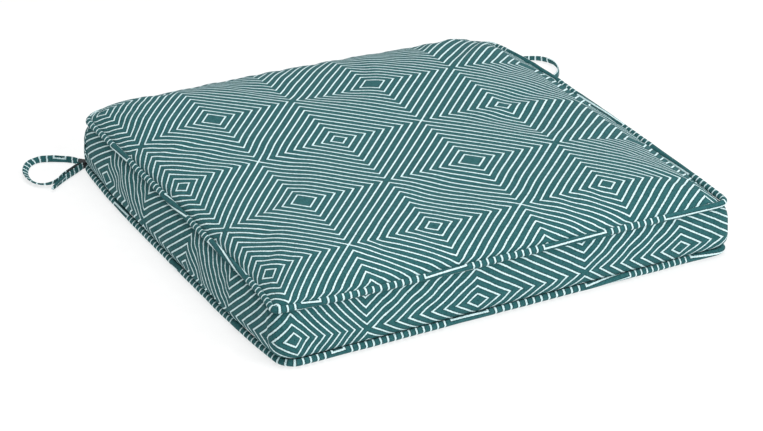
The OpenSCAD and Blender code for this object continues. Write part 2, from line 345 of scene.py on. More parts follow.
def lofted_wadding():
    """Bonded polyester fibre: soft white tufts over a tangle of fine threads."""
    f = Finish("lofted_wadding", roughness=1.0, Sheen_Weight=0.35, Specular_IOR_Level=0.1,
               Subsurface_Weight=0.15)
    place = f.place()
    tuft = f.noise(place, scale=42, detail=6, roughness=0.62)
    strand = f.noise(f.scaled(place, 900, 160, 500), detail=3, roughness=0.7)
    tone = f.math("ADD", f.math("MULTIPLY", tuft, 0.7), f.math("MULTIPLY", strand, 0.3))
    f.colour(f.shade(tone, 0.35, 0.62, (218, 219, 216), (250, 250, 248)))
    f.bump(tone, 2.2 * MM, 0.9)
    return f.material


def hook_and_loop():
    """Black nylon pile and its woven backing."""
    f = Finish("hook_and_loop", roughness=0.75, Sheen_Weight=0.25, Specular_IOR_Level=0.3)
    place = f.place()
    pile = f.noise(place, scale=1900, detail=3, roughness=0.7)
    f.colour(f.shade(pile, 0.4, 0.65, (13, 13, 15), (44, 44, 48)))
    f.bump(pile, 0.35 * MM, 0.9)
    return f.material


def pale_floor():
    f = Finish("pale_floor", roughness=0.9, Specular_IOR_Level=0.05)
    grain = f.noise(f.place(), scale=60, detail=3)
    f.colour(f.shade(grain, 0.3, 0.7, (150, 150, 150), (154, 154, 154)))
    f.shader.inputs["Emission Color"].default_value = (1, 1, 1, 1)
    f.shader.inputs["Emission Strength"].default_value = 0.72
    return f.material


FABRIC = diamond_fabric()
REVERSE = lined_fabric()
TAPE = tape_fabric()
NYLON = nylon()
METAL = worn_metal()
CORD = cotton_cord()
FOAM = cut_foam()
WADDING = lofted_wadding()
HOOKS = hook_and_loop()


# ---- Meshes from grids of points ----

def grid_quads(rows, columns, wrap_rows=False, wrap_columns=False):
    """The corners of a grid's quads: as points, and as values on the grid before it wraps."""
    i, j = np.meshgrid(
        np.arange(rows - (not wrap_rows)), np.arange(columns - (not wrap_columns)), indexing="ij"
    )
    i = np.stack([i, i + 1, i + 1, i], -1).reshape(-1, 4)
    j = np.stack([j, j, j + 1, j + 1], -1).reshape(-1, 4)
    return (i % rows) * columns + j % columns, i * (columns + wrap_columns) + j


def capped(faces, rows, columns):
    """The faces of a tube, with one face at each end."""
    last = rows * columns - 1
    ends = [tuple(range(columns)), tuple(last - k for k in range(columns))]
    return [tuple(face) for face in faces] + ends


def add_mesh(name, points, faces, material, layers=None, values=None):
    """A smooth mesh object; layers are named sets of fabric coordinates, picked by values."""
    mesh = bpy.data.meshes.new(name)
    faces = [[int(corner) for corner in face] for face in faces]
    mesh.from_pydata(np.asarray(points).reshape(-1, 3).tolist(), [], faces)
    mesh.polygons.foreach_set("use_smooth", np.ones(len(mesh.polygons), bool))
    for layer, coords in (layers or {}).items():
        picked = np.asarray(coords).reshape(-1, 2)[np.asarray(values).ravel()]
        mesh.uv_layers.new(name=layer).data.foreach_set("uv", picked.astype(np.float32).ravel())
    mesh.materials.append(material)
    mesh.update()
    piece = bpy.data.objects.new(name, mesh)
    bpy.context.scene.collection.objects.link(piece)
    return piece


def finish_piece(piece, body, slot, *nodes):
    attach(piece, body)
    if nodes:
        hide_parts(*nodes)
    return piece


def smoothed(piece, levels=1):
    modifier = piece.modifiers.new("smooth", "SUBSURF")
    modifier.levels = modifier.render_levels = levels
    modifier.uv_smooth = "NONE"
    return piece


def thickened(piece, thickness):
    """Gives a sheet its thickness on the inner side, and shows the fabric's reverse there."""
    modifier = piece.modifiers.new("thickness", "SOLIDIFY")
    modifier.thickness = thickness
    modifier.offset = -1
    modifier.use_even_offset = False
    piece.data.materials.append(REVERSE)
    modifier.material_offset = 1
    return piece


def lengths_along(points):
    """The distance run at each point of a path."""
    runs = np.linalg.norm(np.diff(points, axis=0), axis=1)
    return np.concatenate([[0], np.cumsum(runs)])


def resampled(points, spacing, closed=False):
    """The same path with points at even spacing."""
    if closed:
        points = np.vstack([points, points[:1]])
    run = lengths_along(points)
    count = max(4, int(round(run[-1] / spacing)))
    at = np.linspace(0, run[-1], count + 1)
    path = np.stack([np.interp(at, run, points[:, k]) for k in range(3)], -1)
    return path[:-1] if closed else path


def spline(points, pieces=10):
    """A smooth path through the points of a route."""
    p = np.vstack([2 * points[0] - points[1], points, 2 * points[-1] - points[-2]])
    t = np.linspace(0, 1, pieces, endpoint=False)[:, None]
    out = []
    for a, b, c, d in zip(p[:-3], p[1:-2], p[2:-1], p[3:]):
        bend, twist = 2 * a - 5 * b + 4 * c - d, 3 * b - a - 3 * c + d
        out.append(0.5 * (2 * b + (c - a) * t + bend * t**2 + twist * t**3))
    return np.vstack(out + [points[-1:]])


def path_frame(path, closed=False):
    """The direction of a path, the side to its left and its own up, at each point."""
    if closed:
        ahead = np.roll(path, -1, 0) - np.roll(path, 1, 0)
    else:
        ahead = np.gradient(path, axis=0)
    ahead /= np.linalg.norm(ahead, axis=1, keepdims=True)
    side = np.cross((0.0, 0.0, 1.0), ahead)
    side /= np.linalg.norm(side, axis=1, keepdims=True)
    return ahead, side, np.cross(ahead, side)


def swept(path, section, closed=False):
    """Points of a section carried along a path; section is (points, 2) or one for each point."""
    _, side, up = path_frame(path, closed)
    section = np.broadcast_to(section, (len(path), *np.shape(section)[-2:]))
    return path[:, None] + section[..., :1] * side[:, None] + section[..., 1:] * up[:, None]


def wander(points, scale, seed):
    """Smooth noise at points, about -1 to 1, with features of the given size."""
    shift = Vector((seed * 17.3, seed * -9.1, seed * 5.7))
    flat = np.asarray(points).reshape(-1, 3) / scale
    return np.array([noise.noise(Vector(p) + shift) for p in flat]).reshape(np.shape(points)[:-1])


def circle(count):
    return np.arange(count) / count * 2 * math.pi


def squared(angles, power_x, power_y):
    """A circle's two coordinates, drawn outwards so that it turns into a rounded square."""
    return (np.sign(q) * np.abs(q) ** power for q, power in (
        (np.cos(angles), power_x), (np.sin(angles), power_y),
    ))


# ---- The camera, at the photograph's angle ----

IMAGE_W = 763
FOCAL_PX = 3000
CAMERA_AT = (-1.3481, -2.5573, 1.4608)
AZIMUTH, ELEVATION, ROLL = (math.radians(a) for a in (-27.539, 26.937, -0.447))
FLOOR_REACH = 9
LIGHTS_AIM = (0, 0, 0.03)


def add_camera():
    data = bpy.data.cameras.new("camera")
    data.sensor_width = 36
    data.lens = FOCAL_PX * data.sensor_width / IMAGE_W
    data.clip_start, data.clip_end = 0.05, 50
    back = Vector((
        math.sin(AZIMUTH) * math.cos(ELEVATION),
        -math.cos(AZIMUTH) * math.cos(ELEVATION),
        math.sin(ELEVATION),
    ))
    right = (-back).cross(Vector((0, 0, 1))).normalized()
    up = right.cross(-back)
    right, up = (
        math.cos(ROLL) * right + math.sin(ROLL) * up,
        -math.sin(ROLL) * right + math.cos(ROLL) * up,
    )
    camera = bpy.data.objects.new("camera", data)
    turn = Matrix((right, up, back)).transposed().to_4x4()
    camera.matrix_world = Matrix.Translation(CAMERA_AT) @ turn
    bpy.context.scene.collection.objects.link(camera)
    bpy.context.scene.camera = camera


def add_light(name, place, aim, size, power):
    data = bpy.data.lights.new(name, "AREA")
    data.size = size
    data.energy = power
    light = bpy.data.objects.new(name, data)
    light.location = place
    light.rotation_euler = (Vector(aim) - Vector(place)).to_track_quat("-Z", "Y").to_euler()
    bpy.context.scene.collection.objects.link(light)


def add_studio():
    scene = bpy.context.scene
    scene.view_settings.view_transform = "Standard"
    world = bpy.data.worlds.new("studio")
    scene.world = world
    world.use_nodes = True
    background = world.node_tree.nodes["Background"]
    background.inputs["Color"].default_value = (1, 1, 1, 1)
    background.inputs["Strength"].default_value = 0.47
    add_light("softbox_right", (1.3, -2.5, 1.5), LIGHTS_AIM, 1.5, 48)
    add_light("softbox_above", (0.0, 0.0, 2.4), LIGHTS_AIM, 1.8, 31)
    corners = [(x * FLOOR_REACH, y * FLOOR_REACH, 0) for x, y in ((-1, -1), (1, -1), (1, 1), (-1, 1))]
    add_mesh("floor", corners, [(0, 1, 2, 3)], pale_floor())


add_camera()
add_studio()


# ---- The ties: folded straps on their edge, closed with hook-and-loop tape ----

STRAP_W = 7.6 * MM
STRAP_T = 2.0 * MM
STRAP_Z = STRAP_W / 2 + 0.9 * MM
LEFT_CORNER = np.array([-HALF, HALF])
RIGHT_CORNER = np.array([HALF, HALF])
LEFT_LOOP = np.array([
    [-3, 7], [-9, 16], [-18.5, 23.5], [-29.5, 31], [-41, 36], [-53, 32],
    [-61, 22], [-66, 10], [-67.5, -5], [-64, -18], [-55, -26], [-44, -25],
    [-31, -16], [-18.5, -8], [-6, 0],
]) * MM + LEFT_CORNER
LEFT_TAB = np.array([
    [-3.4, -4.1], [-15.9, -12.1], [-28.4, -20.1], [-42, -30], [-55, -41],
]) * MM + LEFT_CORNER
RIGHT_LOOP = np.array([
    [6, 5], [20, 10], [35, 14], [51, 16], [67, 14], [80, 7],
    [88, -5], [89, -19], [84, -33], [74, -46], [58, -52.5], [42, -46.5],
    [32, -32.2], [22, -17.9], [12, -3.6],
]) * MM + RIGHT_CORNER
RIGHT_TAB = np.array([
    [8, -6.4], [18, -20.7], [28, -35], [37.5, -48.5], [46.5, -61],
]) * MM + RIGHT_CORNER
STRAP_SIDES = 20
STRAP_SQUARENESS = (0.55, 0.8)  # powers that flatten a round section: across and upwards
STITCH_AT, STITCH_WIDE, STITCH_DEEP = 0.72, 0.12, 0.22  # shares of the strap's half section
POINT_LENGTH = 9 * MM  # of a tab's pointed end
POINT_WIDTH = 0.35  # what is left of the width at the point
SLUMP_FROM, SLUMP_OVER = 22 * MM, 30 * MM  # a strap starts to fall over here, from its root
SLUMP_UNTIL = 34 * MM  # and it stands again this far before its end
SLUMP_DROP = 0.8  # how much of a fallen strap's height is lost
SWAY, SWAY_LENGTH = 0.16, 23 * MM
SWAY_FROM = 12 * MM
ROOT_R = 4.5 * MM  # the fold round the swing's axis
ROOT_END_R = 1.5 * MM  # the fold round the ends of the straps
ROOT_SIDES = 72
ROOT_LEVELS = (-0.9, -0.86, -0.4, 0, 0.4, 0.86, 0.9)
ROOT_INSETS = (0.7 * MM, 0, 0.1 * MM, 0.25 * MM, 0.1 * MM, 0, 0.7 * MM)
PILE_COLUMNS, PILE_LINES = 24, 10
PILE_WIRE_R = 0.085 * MM
TAPE_ROWS, TAPE_SIDES = 30, 24


def bias_layers(along, around, turns=((0,), (0,))):
    """Fabric coordinates of a strip cut at 45 degrees; turns are where the diamonds' middles cross it."""
    motif = []
    for places, step, half_period, way in (
        (turns[0], TOP_STEP_X, HALF_PERIOD_X, 1), (turns[1], TOP_STEP_Y, HALF_PERIOD_Y, -1),
    ):
        spacing = half_period * step * math.sqrt(2)
        before = [places[0] * MM - spacing * k for k in range(TURNS_BEYOND, 0, -1)]
        after = [places[-1] * MM + spacing * k for k in range(1, TURNS_BEYOND + 1)]
        at = before + [place * MM for place in places] + after
        counted = np.interp(along, at, np.arange(len(at)) * half_period)
        motif.append(counted + way * around / math.sqrt(2) / step)
    weave = np.stack([along + around, along - around], -1) / math.sqrt(2)
    return {"motif": np.stack(motif, -1), "weave": weave}


def strap_section(width):
    """A folded strap: flat faces, rounded edges and a shallow dip inside each row of stitches."""
    flat, tall = squared(circle(STRAP_SIDES), *STRAP_SQUARENESS)
    dip = 1 - STITCH_DEEP * np.exp(-(((np.abs(tall) - STITCH_AT) / STITCH_WIDE) ** 2))
    return np.stack([flat * STRAP_T / 2 * dip, tall * width / 2], -1)


def add_strap(name, route, body, pointed, seed, slump):
    """A strap on its edge; slump is how far its free part has fallen over, as an angle."""
    path = np.column_stack([route, np.full(len(route), STRAP_Z)])
    path = resampled(spline(path), 1.6 * MM)
    run = lengths_along(path)
    fallen = slump * np.clip((run - SLUMP_FROM) / SLUMP_OVER, 0, 1)
    fallen *= np.clip((run[-1] - SLUMP_UNTIL - run) / SLUMP_OVER, 0, 1)
    width = np.full(len(path), STRAP_W)
    if pointed:
        left = np.clip((run[-1] - run) / POINT_LENGTH, 0, 1)
        width *= POINT_WIDTH + (1 - POINT_WIDTH) * left**0.6
    sections = np.stack([strap_section(w) for w in width])
    lean = SWAY * np.sin(run / SWAY_LENGTH + seed) * np.clip(run / SWAY_FROM, 0, 1) + fallen
    path[:, 2] -= STRAP_W / 2 * (1 - np.cos(fallen)) * SLUMP_DROP
    flat, tall = sections[..., 0], sections[..., 1]
    c, s = np.cos(lean)[:, None], np.sin(lean)[:, None]
    sections = np.stack([flat * c - tall * s, flat * s + tall * c], -1)
    points = swept(path, sections)
    points += (wander(points, 9 * MM, seed) * 0.22 * MM)[..., None] * np.array([1, 1, 0.3])
    rows = len(path)
    faces, values = grid_quads(rows, STRAP_SIDES, wrap_columns=True)
    around = np.linspace(0, 2 * (STRAP_W + STRAP_T), STRAP_SIDES + 1)
    along = np.broadcast_to(run[:, None], (rows, STRAP_SIDES + 1))
    around = np.broadcast_to(around, along.shape)
    all_points = np.vstack([points.reshape(-1, 3), points[0].mean(0), points[-1].mean(0)])
    layers = {
        layer: np.vstack([grid.reshape(-1, 2), grid[0, :1], grid[-1, :1]])
        for layer, grid in bias_layers(along, around, ((seed * 31,), (seed * 17,))).items()
    }
    k = np.arange(STRAP_SIDES)
    following = (k + 1) % STRAP_SIDES
    start, end = rows * STRAP_SIDES, rows * STRAP_SIDES + 1
    last = start - STRAP_SIDES
    caps = [(start, a, b) for a, b in zip(k, following)]
    caps += [(end, last + b, last + a) for a, b in zip(k, following)]
    start, end = rows * (STRAP_SIDES + 1), rows * (STRAP_SIDES + 1) + 1
    last = start - (STRAP_SIDES + 1)
    cap_values = [(start, a, a + 1) for a in k] + [(end, last + a + 1, last + a) for a in k]
    values = np.concatenate([values.ravel(), np.ravel(cap_values)])
    piece = add_mesh(name, all_points, [tuple(f) for f in faces] + caps, FABRIC, layers, values)
    finish_piece(piece, body, "strap_fabric", name)
    return piece, path, run[-1]


def pile_wire(root, tip, bend, ahead):
    """The points of one short wire of the pile: four rings along a bent line."""
    line = [root, root + tip * 0.8 + bend * 0.3, root + tip + bend, root + tip * 0.5 + bend * 1.7]
    up = np.array([0, 0, 1.0])
    corners = np.array([ahead, up, -ahead, -up]) * PILE_WIRE_R
    return np.vstack([point + corners for point in line])


def add_pile_tape(name, body, hooked, seed):
    """A hook tape or a loop tape: a woven backing with its pile on the face."""
    low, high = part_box(name)
    vertices = np.array([v.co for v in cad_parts[name].data.vertices])
    flat = vertices[:, :2] - vertices[:, :2].mean(0)
    spread_x, spread_y = (flat**2).sum(0)
    angle = 0.5 * math.atan2(2 * (flat[:, 0] * flat[:, 1]).sum(), spread_x - spread_y)
    ahead = np.array([math.cos(angle), math.sin(angle), 0])
    side = np.array([-ahead[1], ahead[0], 0])
    up = np.array([0, 0, 1.0])
    middle = (np.array(low) + np.array(high)) / 2
    length, thick = np.ptp(flat @ ahead[:2]), np.ptp(flat @ side[:2])
    height = high.z - low.z
    s = np.linspace(-1, 1, TAPE_ROWS)
    shrink = np.clip((1 - np.abs(s) ** 18) ** 0.5, 0.35, 1)[:, None]
    face, tall = squared(circle(TAPE_SIDES), 0.4, 0.35)
    face, tall = shrink * face * thick * 0.36, shrink * tall * height / 2 * 0.97
    points = middle + (s * length / 2)[:, None, None] * ahead + face[..., None] * side + tall[..., None] * up
    faces, _ = grid_quads(TAPE_ROWS, TAPE_SIDES, wrap_columns=True)
    faces = capped(faces, TAPE_ROWS, TAPE_SIDES)
    random = np.random.default_rng(seed)
    points = [points.reshape(-1, 3)]
    total = len(points[0])
    for i, j in np.ndindex(PILE_COLUMNS, PILE_LINES):
        at = middle + ahead * length * 0.94 * ((i + 0.5) / PILE_COLUMNS - 0.5)
        at = at + up * height * 0.88 * ((j + 0.5) / PILE_LINES - 0.5)
        at = at + (ahead * random.normal() + up * random.normal()) * 0.12 * MM
        for way in (-1, 1):
            tip = side * way * thick * (0.16 if hooked else 0.2)
            lean = 1.0 if hooked else random.uniform(-1, 1)
            bend = ahead * 0.32 * MM * lean + up * 0.1 * MM * random.normal()
            points.append(pile_wire(at + side * way * thick * 0.34, tip, bend, ahead))
            for b in range(total, total + 12, 4):
                faces += [(b + m, b + (m + 1) % 4, b + 4 + (m + 1) % 4, b + 4 + m) for m in range(4)]
            total += 16
    piece = add_mesh(name, np.vstack(points), faces, HOOKS)
    return finish_piece(piece, body, "hook_and_loop", name)


def add_root(side, corner, roots, body):
    """The tapes' sewn end: a fold round the swing's axis that holds the strap's two ends and the tab."""
    a = circle(ROOT_SIDES)
    outward = np.stack([np.cos(a), np.sin(a)], -1)
    centres = np.vstack([corner, roots])
    radii = np.array([ROOT_R] + [ROOT_END_R] * len(roots))
    rings = []
    for share, inset in zip(ROOT_LEVELS, ROOT_INSETS):
        reach = centres @ outward.T + (radii - inset)[:, None]
        widest = reach.argmax(0)
        ring = centres[widest] + outward * (radii - inset)[widest, None]
        rings.append(np.column_stack([ring, np.full(ROOT_SIDES, STRAP_Z + share * STRAP_W / 2)]))
    faces, _ = grid_quads(len(rings), ROOT_SIDES, wrap_columns=True)
    faces = capped(faces, len(rings), ROOT_SIDES)
    piece = add_mesh(f"{side}_root", np.vstack(rings), faces, HOOKS)
    return finish_piece(piece, body, "hook_and_loop", f"{side}_hook_tape")


def add_tie(side, loop, tab, seed, slump):
    body = f"{side}_tie"
    corner = LEFT_CORNER if side == "left" else RIGHT_CORNER
    add_root(side, corner, np.array([loop[0], loop[-1], tab[0]]), body)
    loop_tape = add_pile_tape(f"{side}_loop_tape", body, False, seed)
    hook_tape = add_pile_tape(f"{side}_hook_tape", body, True, seed + 1)
    pieces = (
        (f"{side}_long_strap", loop, False, slump, "object", loop_tape),
        (f"{side}_tab", tab, True, 0.0, "bare", hook_tape),
    )
    for number, (name, route, pointed, fall, far_end, tape) in enumerate(pieces):
        strap, path, length = add_strap(name, route, body, pointed, seed + number, fall)


add_tie("left", LEFT_LOOP, LEFT_TAB, 1, math.radians(60))
add_tie("right", RIGHT_LOOP, RIGHT_TAB, 5, math.radians(18))


# ---- The cover, as one closed net of points ----

CELLS = 88  # cells along each side of a panel
N = CELLS + 1
ROW_OFFSETS = np.array([24.1, 20, 16, 12, 8, 4, 0, -4, -8, -12, -16, -20, -24.1]) / 27.5
MIDDLE_ROW = len(ROW_OFFSETS) // 2


def at_corners(values, u, v):
    """Blends four corner values over the square from -1 to 1."""
    s, t = (u + 1) / 2, (v + 1) / 2
    front, back = (a * (1 - s) + b * s for a, b in (values[:2], values[2:]))
    return front * (1 - t) + back * t


def rounded(u, v, half, radius):
    """Points of the square from -1 to 1, carried to a square with round corners."""
    half, radius = np.broadcast_arrays(half, radius)
    flat = half - radius
    out = []
    x, y = u * half, v * half
    px, py = (np.clip((np.abs(q) - flat) / radius, 0, 1) for q in (x, y))
    corner = (px > 0) & (py > 0)
    qx, qy = px * np.sqrt(1 - py**2 / 2), py * np.sqrt(1 - px**2 / 2)
    for q, r in ((x, qx), (y, qy)):
        out.append(np.where(corner, np.sign(q) * (flat + radius * r), q))
    return out


def top_lift(u, v):
    """How much higher than its plain place the top seam's level is; it droops along the back."""
    droop = DROOP * ((u + 1) / 2) ** DROOP_POWER + DROOP_LEFT * ((1 - u) / 2) ** DROOP_LEFT_POWER
    return at_corners(TOP_LIFT, u, v) - droop * ((v + 1) / 2) ** DROOP_BACK_POWER


def leaned(x, y, z, u, v, share):
    """Applies the pad's own unevenness; share is 1 at the top seam and 0 at the bottom one."""
    dx, dy = (
        share * at_corners(top, u, v) + (1 - share) * at_corners(bottom, u, v)
        for top, bottom in ((TOP_DX, BOTTOM_DX), (TOP_DY, BOTTOM_DY))
    )
    bow = share * RIGHT_BOW * ((u + 1) / 2) ** BOW_POWER
    bow = bow - (1 - share) * LEFT_BOW * ((1 - u) / 2) ** BOW_POWER
    pull = share * ((1 - u) * (1 - v) / 4) ** CORNER_PULL_POWER
    x = x + dx + bow * (1 - v**4) + pull * CORNER_PULL[0]
    y = y + dy + pull * CORNER_PULL[1]
    return np.stack([x, y, z + share**4 * top_lift(u, v)], -1)


def corner_radius(radii, u, v):
    """The radius at the nearest corner."""
    return np.where(v < 0, np.where(u < 0, radii[0], radii[1]), np.where(u < 0, radii[2], radii[3]))


w = np.linspace(-1, 1, N)
LINES = 1.25 * w - 0.25 * w**3  # the net is finer towards the seams
GRID_U, GRID_V = np.meshgrid(LINES, LINES, indexing="ij")
EDGE = np.maximum(np.abs(GRID_U), np.abs(GRID_V))
FALL, RISE = np.arange(CELLS, 0, -1), np.arange(CELLS)
FIRST, LAST = np.zeros(CELLS, int), np.full(CELLS, CELLS)
# The border of the square as one loop: down the left side, along the front, up the right, back.
LOOP_I = np.concatenate([FIRST, RISE, LAST, FALL])
LOOP_J = np.concatenate([FALL, FIRST, RISE, LAST])
LOOP = len(LOOP_I)
LOOP_U, LOOP_V = LINES[LOOP_I], LINES[LOOP_J]


def crease_share(u):
    return ((u + 1) / 2) ** CREASE_POWER


def past_flat(edge):
    """How far a point is from the flat of the underside towards its seam, from 0 to 1."""
    return np.clip((edge - UNDERSIDE_FLAT) / (1 - UNDERSIDE_FLAT), 0, 1)


def crowned(u, v):
    """The height of the stuffed top, before its unevenness."""
    edge_z = TOP_SEAM + MERGE_UP - (MERGE_UP + CREASE_DEPTH) * crease_share(u)
    across = (1 - np.abs(u) ** CROWN_POWER) ** np.where(u > 0, CROWN_ROUND_RIGHT, CROWN_ROUND)
    along = (1 - np.abs(v) ** CROWN_POWER) ** CROWN_ROUND
    return edge_z + (TOP_SEAM + CROWN - edge_z) * across * along


def top_points():
    edge_in = MERGE_IN + (PIPING_R - TUCK - MERGE_IN) * crease_share(GRID_U)
    radius = corner_radius(TOP_CORNER_R, GRID_U, GRID_V) - edge_in
    x, y = rounded(GRID_U, GRID_V, HALF - edge_in, radius)
    return leaned(x, y, crowned(GRID_U, GRID_V), GRID_U, GRID_V, 1.0)


def under_points():
    radius = corner_radius(BOTTOM_CORNER_R, GRID_U, GRID_V) - PIPING_R
    x, y = rounded(GRID_U, GRID_V, HALF - PIPING_R + TUCK, radius)
    rise = BOTTOM_SEAM + UNDERSIDE_RISE
    z = UNDERSIDE_Z + rise * (1 - (1 - past_flat(EDGE) ** 3) ** CROWN_ROUND)
    return leaned(x, y, z, GRID_U, GRID_V, 0.0)


def side_points():
    """The boxing's rows of points round the pad, from the top seam down."""
    middle_r = corner_radius(MIDDLE_CORNER_R, LOOP_U, LOOP_V)
    x, y = rounded(LOOP_U, LOOP_V, HALF, middle_r)
    flat = HALF - middle_r
    nx, ny = (np.sign(q) * np.maximum(np.abs(q) - flat, 0) for q in (x, y))
    size = np.hypot(nx, ny)
    nx, ny = nx / size, ny / size
    left = BULGE_LEFT * (1 - BULGE_LEFT_EASED * ((LOOP_V + 1) / 2) ** 4)
    bulge = np.where(nx < 0, left, BULGE_RIGHT) * nx**2
    bulge += np.where(ny < 0, BULGE_FRONT, BULGE_BACK) * ny**2
    bulge += BULGE_CORNER * 2 * np.abs(nx * ny) * np.where(ny < 0, 1, np.abs(nx))
    groove = GROOVE + (BACK_GROOVE - GROOVE) * np.clip(ny, 0, 1) ** 2
    rows = []
    for offset in ROW_OFFSETS:
        away = abs(offset) / ROW_OFFSETS[0]
        full = max(0.0, 1 - away ** (FULL_ABOVE if offset > 0 else FULL_BELOW)) ** FULL_ROUND
        end_r = corner_radius(TOP_CORNER_R if offset > 0 else BOTTOM_CORNER_R, LOOP_U, LOOP_V)
        radius = middle_r + (end_r - middle_r) * away**2
        x, y = rounded(LOOP_U, LOOP_V, HALF - groove + bulge * full, radius)
        z = MIDDLE + offset * (TOP_SEAM - BOTTOM_SEAM) / 2
        rows.append(leaned(x, y, z, LOOP_U, LOOP_V, (offset + 1) / 2))
    return np.array(rows)


def net_faces():
    """Every quad of the closed net, facing outwards, and where its side and its underside start."""
    top, _ = grid_quads(N, N)
    first_side = N * N
    first_under = first_side + len(ROW_OFFSETS) * LOOP
    border = LOOP_I * N + LOOP_J
    rings = [border] + [first_side + k * LOOP + np.arange(LOOP) for k in range(len(ROW_OFFSETS))]
    rings.append(border + first_under)
    sides = [
        np.stack([a, b, np.roll(b, -1), np.roll(a, -1)], -1) for a, b in zip(rings[:-1], rings[1:])
    ]
    return np.vstack([top, top[:, ::-1] + first_under, *sides]), first_side, first_under


NET_FACES, FIRST_SIDE, FIRST_UNDER = net_faces()
# Each part of the net: its points, its rows and columns, and whether it runs round the pad.
NET_PARTS = (
    (slice(0, FIRST_SIDE), (N, N), False),
    (slice(FIRST_SIDE, FIRST_UNDER), (len(ROW_OFFSETS), LOOP), True),
    (slice(FIRST_UNDER, None), (N, N), False),
)
net = np.vstack([points.reshape(-1, 3) for points in (top_points(), side_points(), under_points())])

SIM_FRAMES = 20
SIM_SLACK = 0.012  # the fabric is this much larger than the pad's shape
SIM_CAP = 2.5 * MM
BROAD_REACH = 9  # cells; movement that is broader than this is left out


def blurred(grid, reach, wraps):
    """A running mean along the columns of a grid, and along the rows too unless it wraps."""
    for axis in ((1,) if wraps else (0, 1)):
        pad = [(0, 0)] * 3
        pad[axis] = (reach, reach)
        wide = np.pad(grid, pad, mode="wrap" if wraps else "reflect")
        size = grid.shape[axis]
        grid = sum(np.take(wide, range(k, k + size), axis=axis) for k in range(2 * reach + 1))
        grid = grid / (2 * reach + 1)
    return grid


def inflated(points):
    """The net after a cloth simulation with air pressure, held along the seams and where it rests."""
    net_object = add_mesh("net", points, NET_FACES, REVERSE)
    held = np.zeros(len(points), bool)
    held[:FIRST_SIDE] = (EDGE >= 1).ravel()
    held[FIRST_UNDER:] = ((EDGE >= 1) | (EDGE < UNDERSIDE_FLAT)).ravel()
    held[FIRST_SIDE:FIRST_SIDE + LOOP] = True
    held[FIRST_UNDER - LOOP:FIRST_UNDER] = True
    group = net_object.vertex_groups.new(name="held")
    group.add(np.flatnonzero(held).tolist(), 1.0, "REPLACE")
    cloth = net_object.modifiers.new("cloth", "CLOTH")
    s = cloth.settings
    s.quality = 6
    s.mass = 0.25
    s.tension_stiffness = s.compression_stiffness = 18
    s.shear_stiffness = 8
    s.bending_stiffness = 1.2
    s.use_pressure = True
    s.uniform_pressure_force = 4
    s.shrink_min = -SIM_SLACK
    s.vertex_group_mass = "held"
    s.effector_weights.gravity = 0
    cloth.collision_settings.use_collision = False
    cloth.point_cache.frame_start, cloth.point_cache.frame_end = 1, SIM_FRAMES
    scene = bpy.context.scene
    for number in range(1, SIM_FRAMES + 1):
        scene.frame_set(number)
    depsgraph = bpy.context.evaluated_depsgraph_get()
    step = np.array([v.co for v in net_object.evaluated_get(depsgraph).data.vertices]) - points
    mesh = net_object.data
    bpy.data.objects.remove(net_object)
    bpy.data.meshes.remove(mesh)
    scene.frame_set(1)
    for part, shape, wraps in NET_PARTS:
        step[part] -= blurred(step[part].reshape(*shape, 3), BROAD_REACH, wraps).reshape(-1, 3)
    step[held] = 0
    size = np.linalg.norm(step, axis=1, keepdims=True)
    points = points + step * np.tanh(size / SIM_CAP) * SIM_CAP / np.maximum(size, 1e-9)
    points[:, 2] = np.maximum(points[:, 2], UNDERSIDE_Z)
    return points


net = inflated(net)

TOP, SIDES, UNDER = (net[part].reshape(*shape, 3) for part, shape, _ in NET_PARTS)


def cloth_run(points, axis):
    """Distance along the fabric from the middle line, across a panel, with its sign."""
    run = np.linalg.norm(np.diff(points, axis=axis), axis=-1)
    run = np.cumsum(np.insert(run, 0, 0, axis=axis), axis=axis)
    return run - np.take(run, [CELLS // 2], axis=axis)


def top_motif(x, y):
    """Where the diamonds lie on the top: nearly square, pulled a little closer towards the edges."""
    x, y = x / LAY_SIZE, y / LAY_SIZE
    across = 4.95 + 22.0 * x + 0.3 * x * y - 0.3 * x**2 + 0.3 * y**2 + 1.3 * x**3
    along = -1.7 - 0.3 * x + 20.8 * y - 0.3 * x * y + x**2 - 0.25 * y**2 + 0.9 * x**3 + 1.1 * y**3
    return np.stack([across, along], -1)


def under_motif(x, y):
    return np.stack([x / TOP_STEP_X, y / TOP_STEP_Y], -1)


def add_fabric(name, points, faces, layers):
    """A piece of the cover, as thick as the fabric."""
    piece = add_mesh(name, points, faces, FABRIC, layers, faces)
    smoothed(thickened(piece, FABRIC_T))
    return finish_piece(piece, "cushion", "patterned_fabric", name)


for name, points, way, motif_of in (
    ("top_panel", TOP, 1, top_motif), ("bottom_panel", UNDER, -1, under_motif),
):
    x, y = cloth_run(points, 0), cloth_run(points, 1)
    faces = grid_quads(N, N)[0][:, ::way]
    add_fabric(name, points, faces, {"motif": motif_of(x, y), "weave": np.stack([x, y], -1)})


# ---- The boxing ----

# Distance round the pad at the loop's points, zero at the front's middle.
ROUND = lengths_along(np.vstack([SIDES[MIDDLE_ROW], SIDES[MIDDLE_ROW, :1]]))
ROUND = ROUND - ROUND[CELLS + CELLS // 2]
FRONT_SCALE = 2 * HALF / (ROUND[2 * CELLS] - ROUND[CELLS])


def add_band(name, points, run, along, centre):
    """A strip of the boxing; its diamonds lie on their side, with their middles at a height."""
    z = points[..., 2]
    layers = {
        "motif": np.stack([(z - centre) / BOXING_STEP, np.broadcast_to(along, z.shape)], -1),
        "weave": np.stack([z, np.broadcast_to(run, z.shape)], -1),
    }
    add_fabric(name, points, grid_quads(*z.shape)[0], layers)


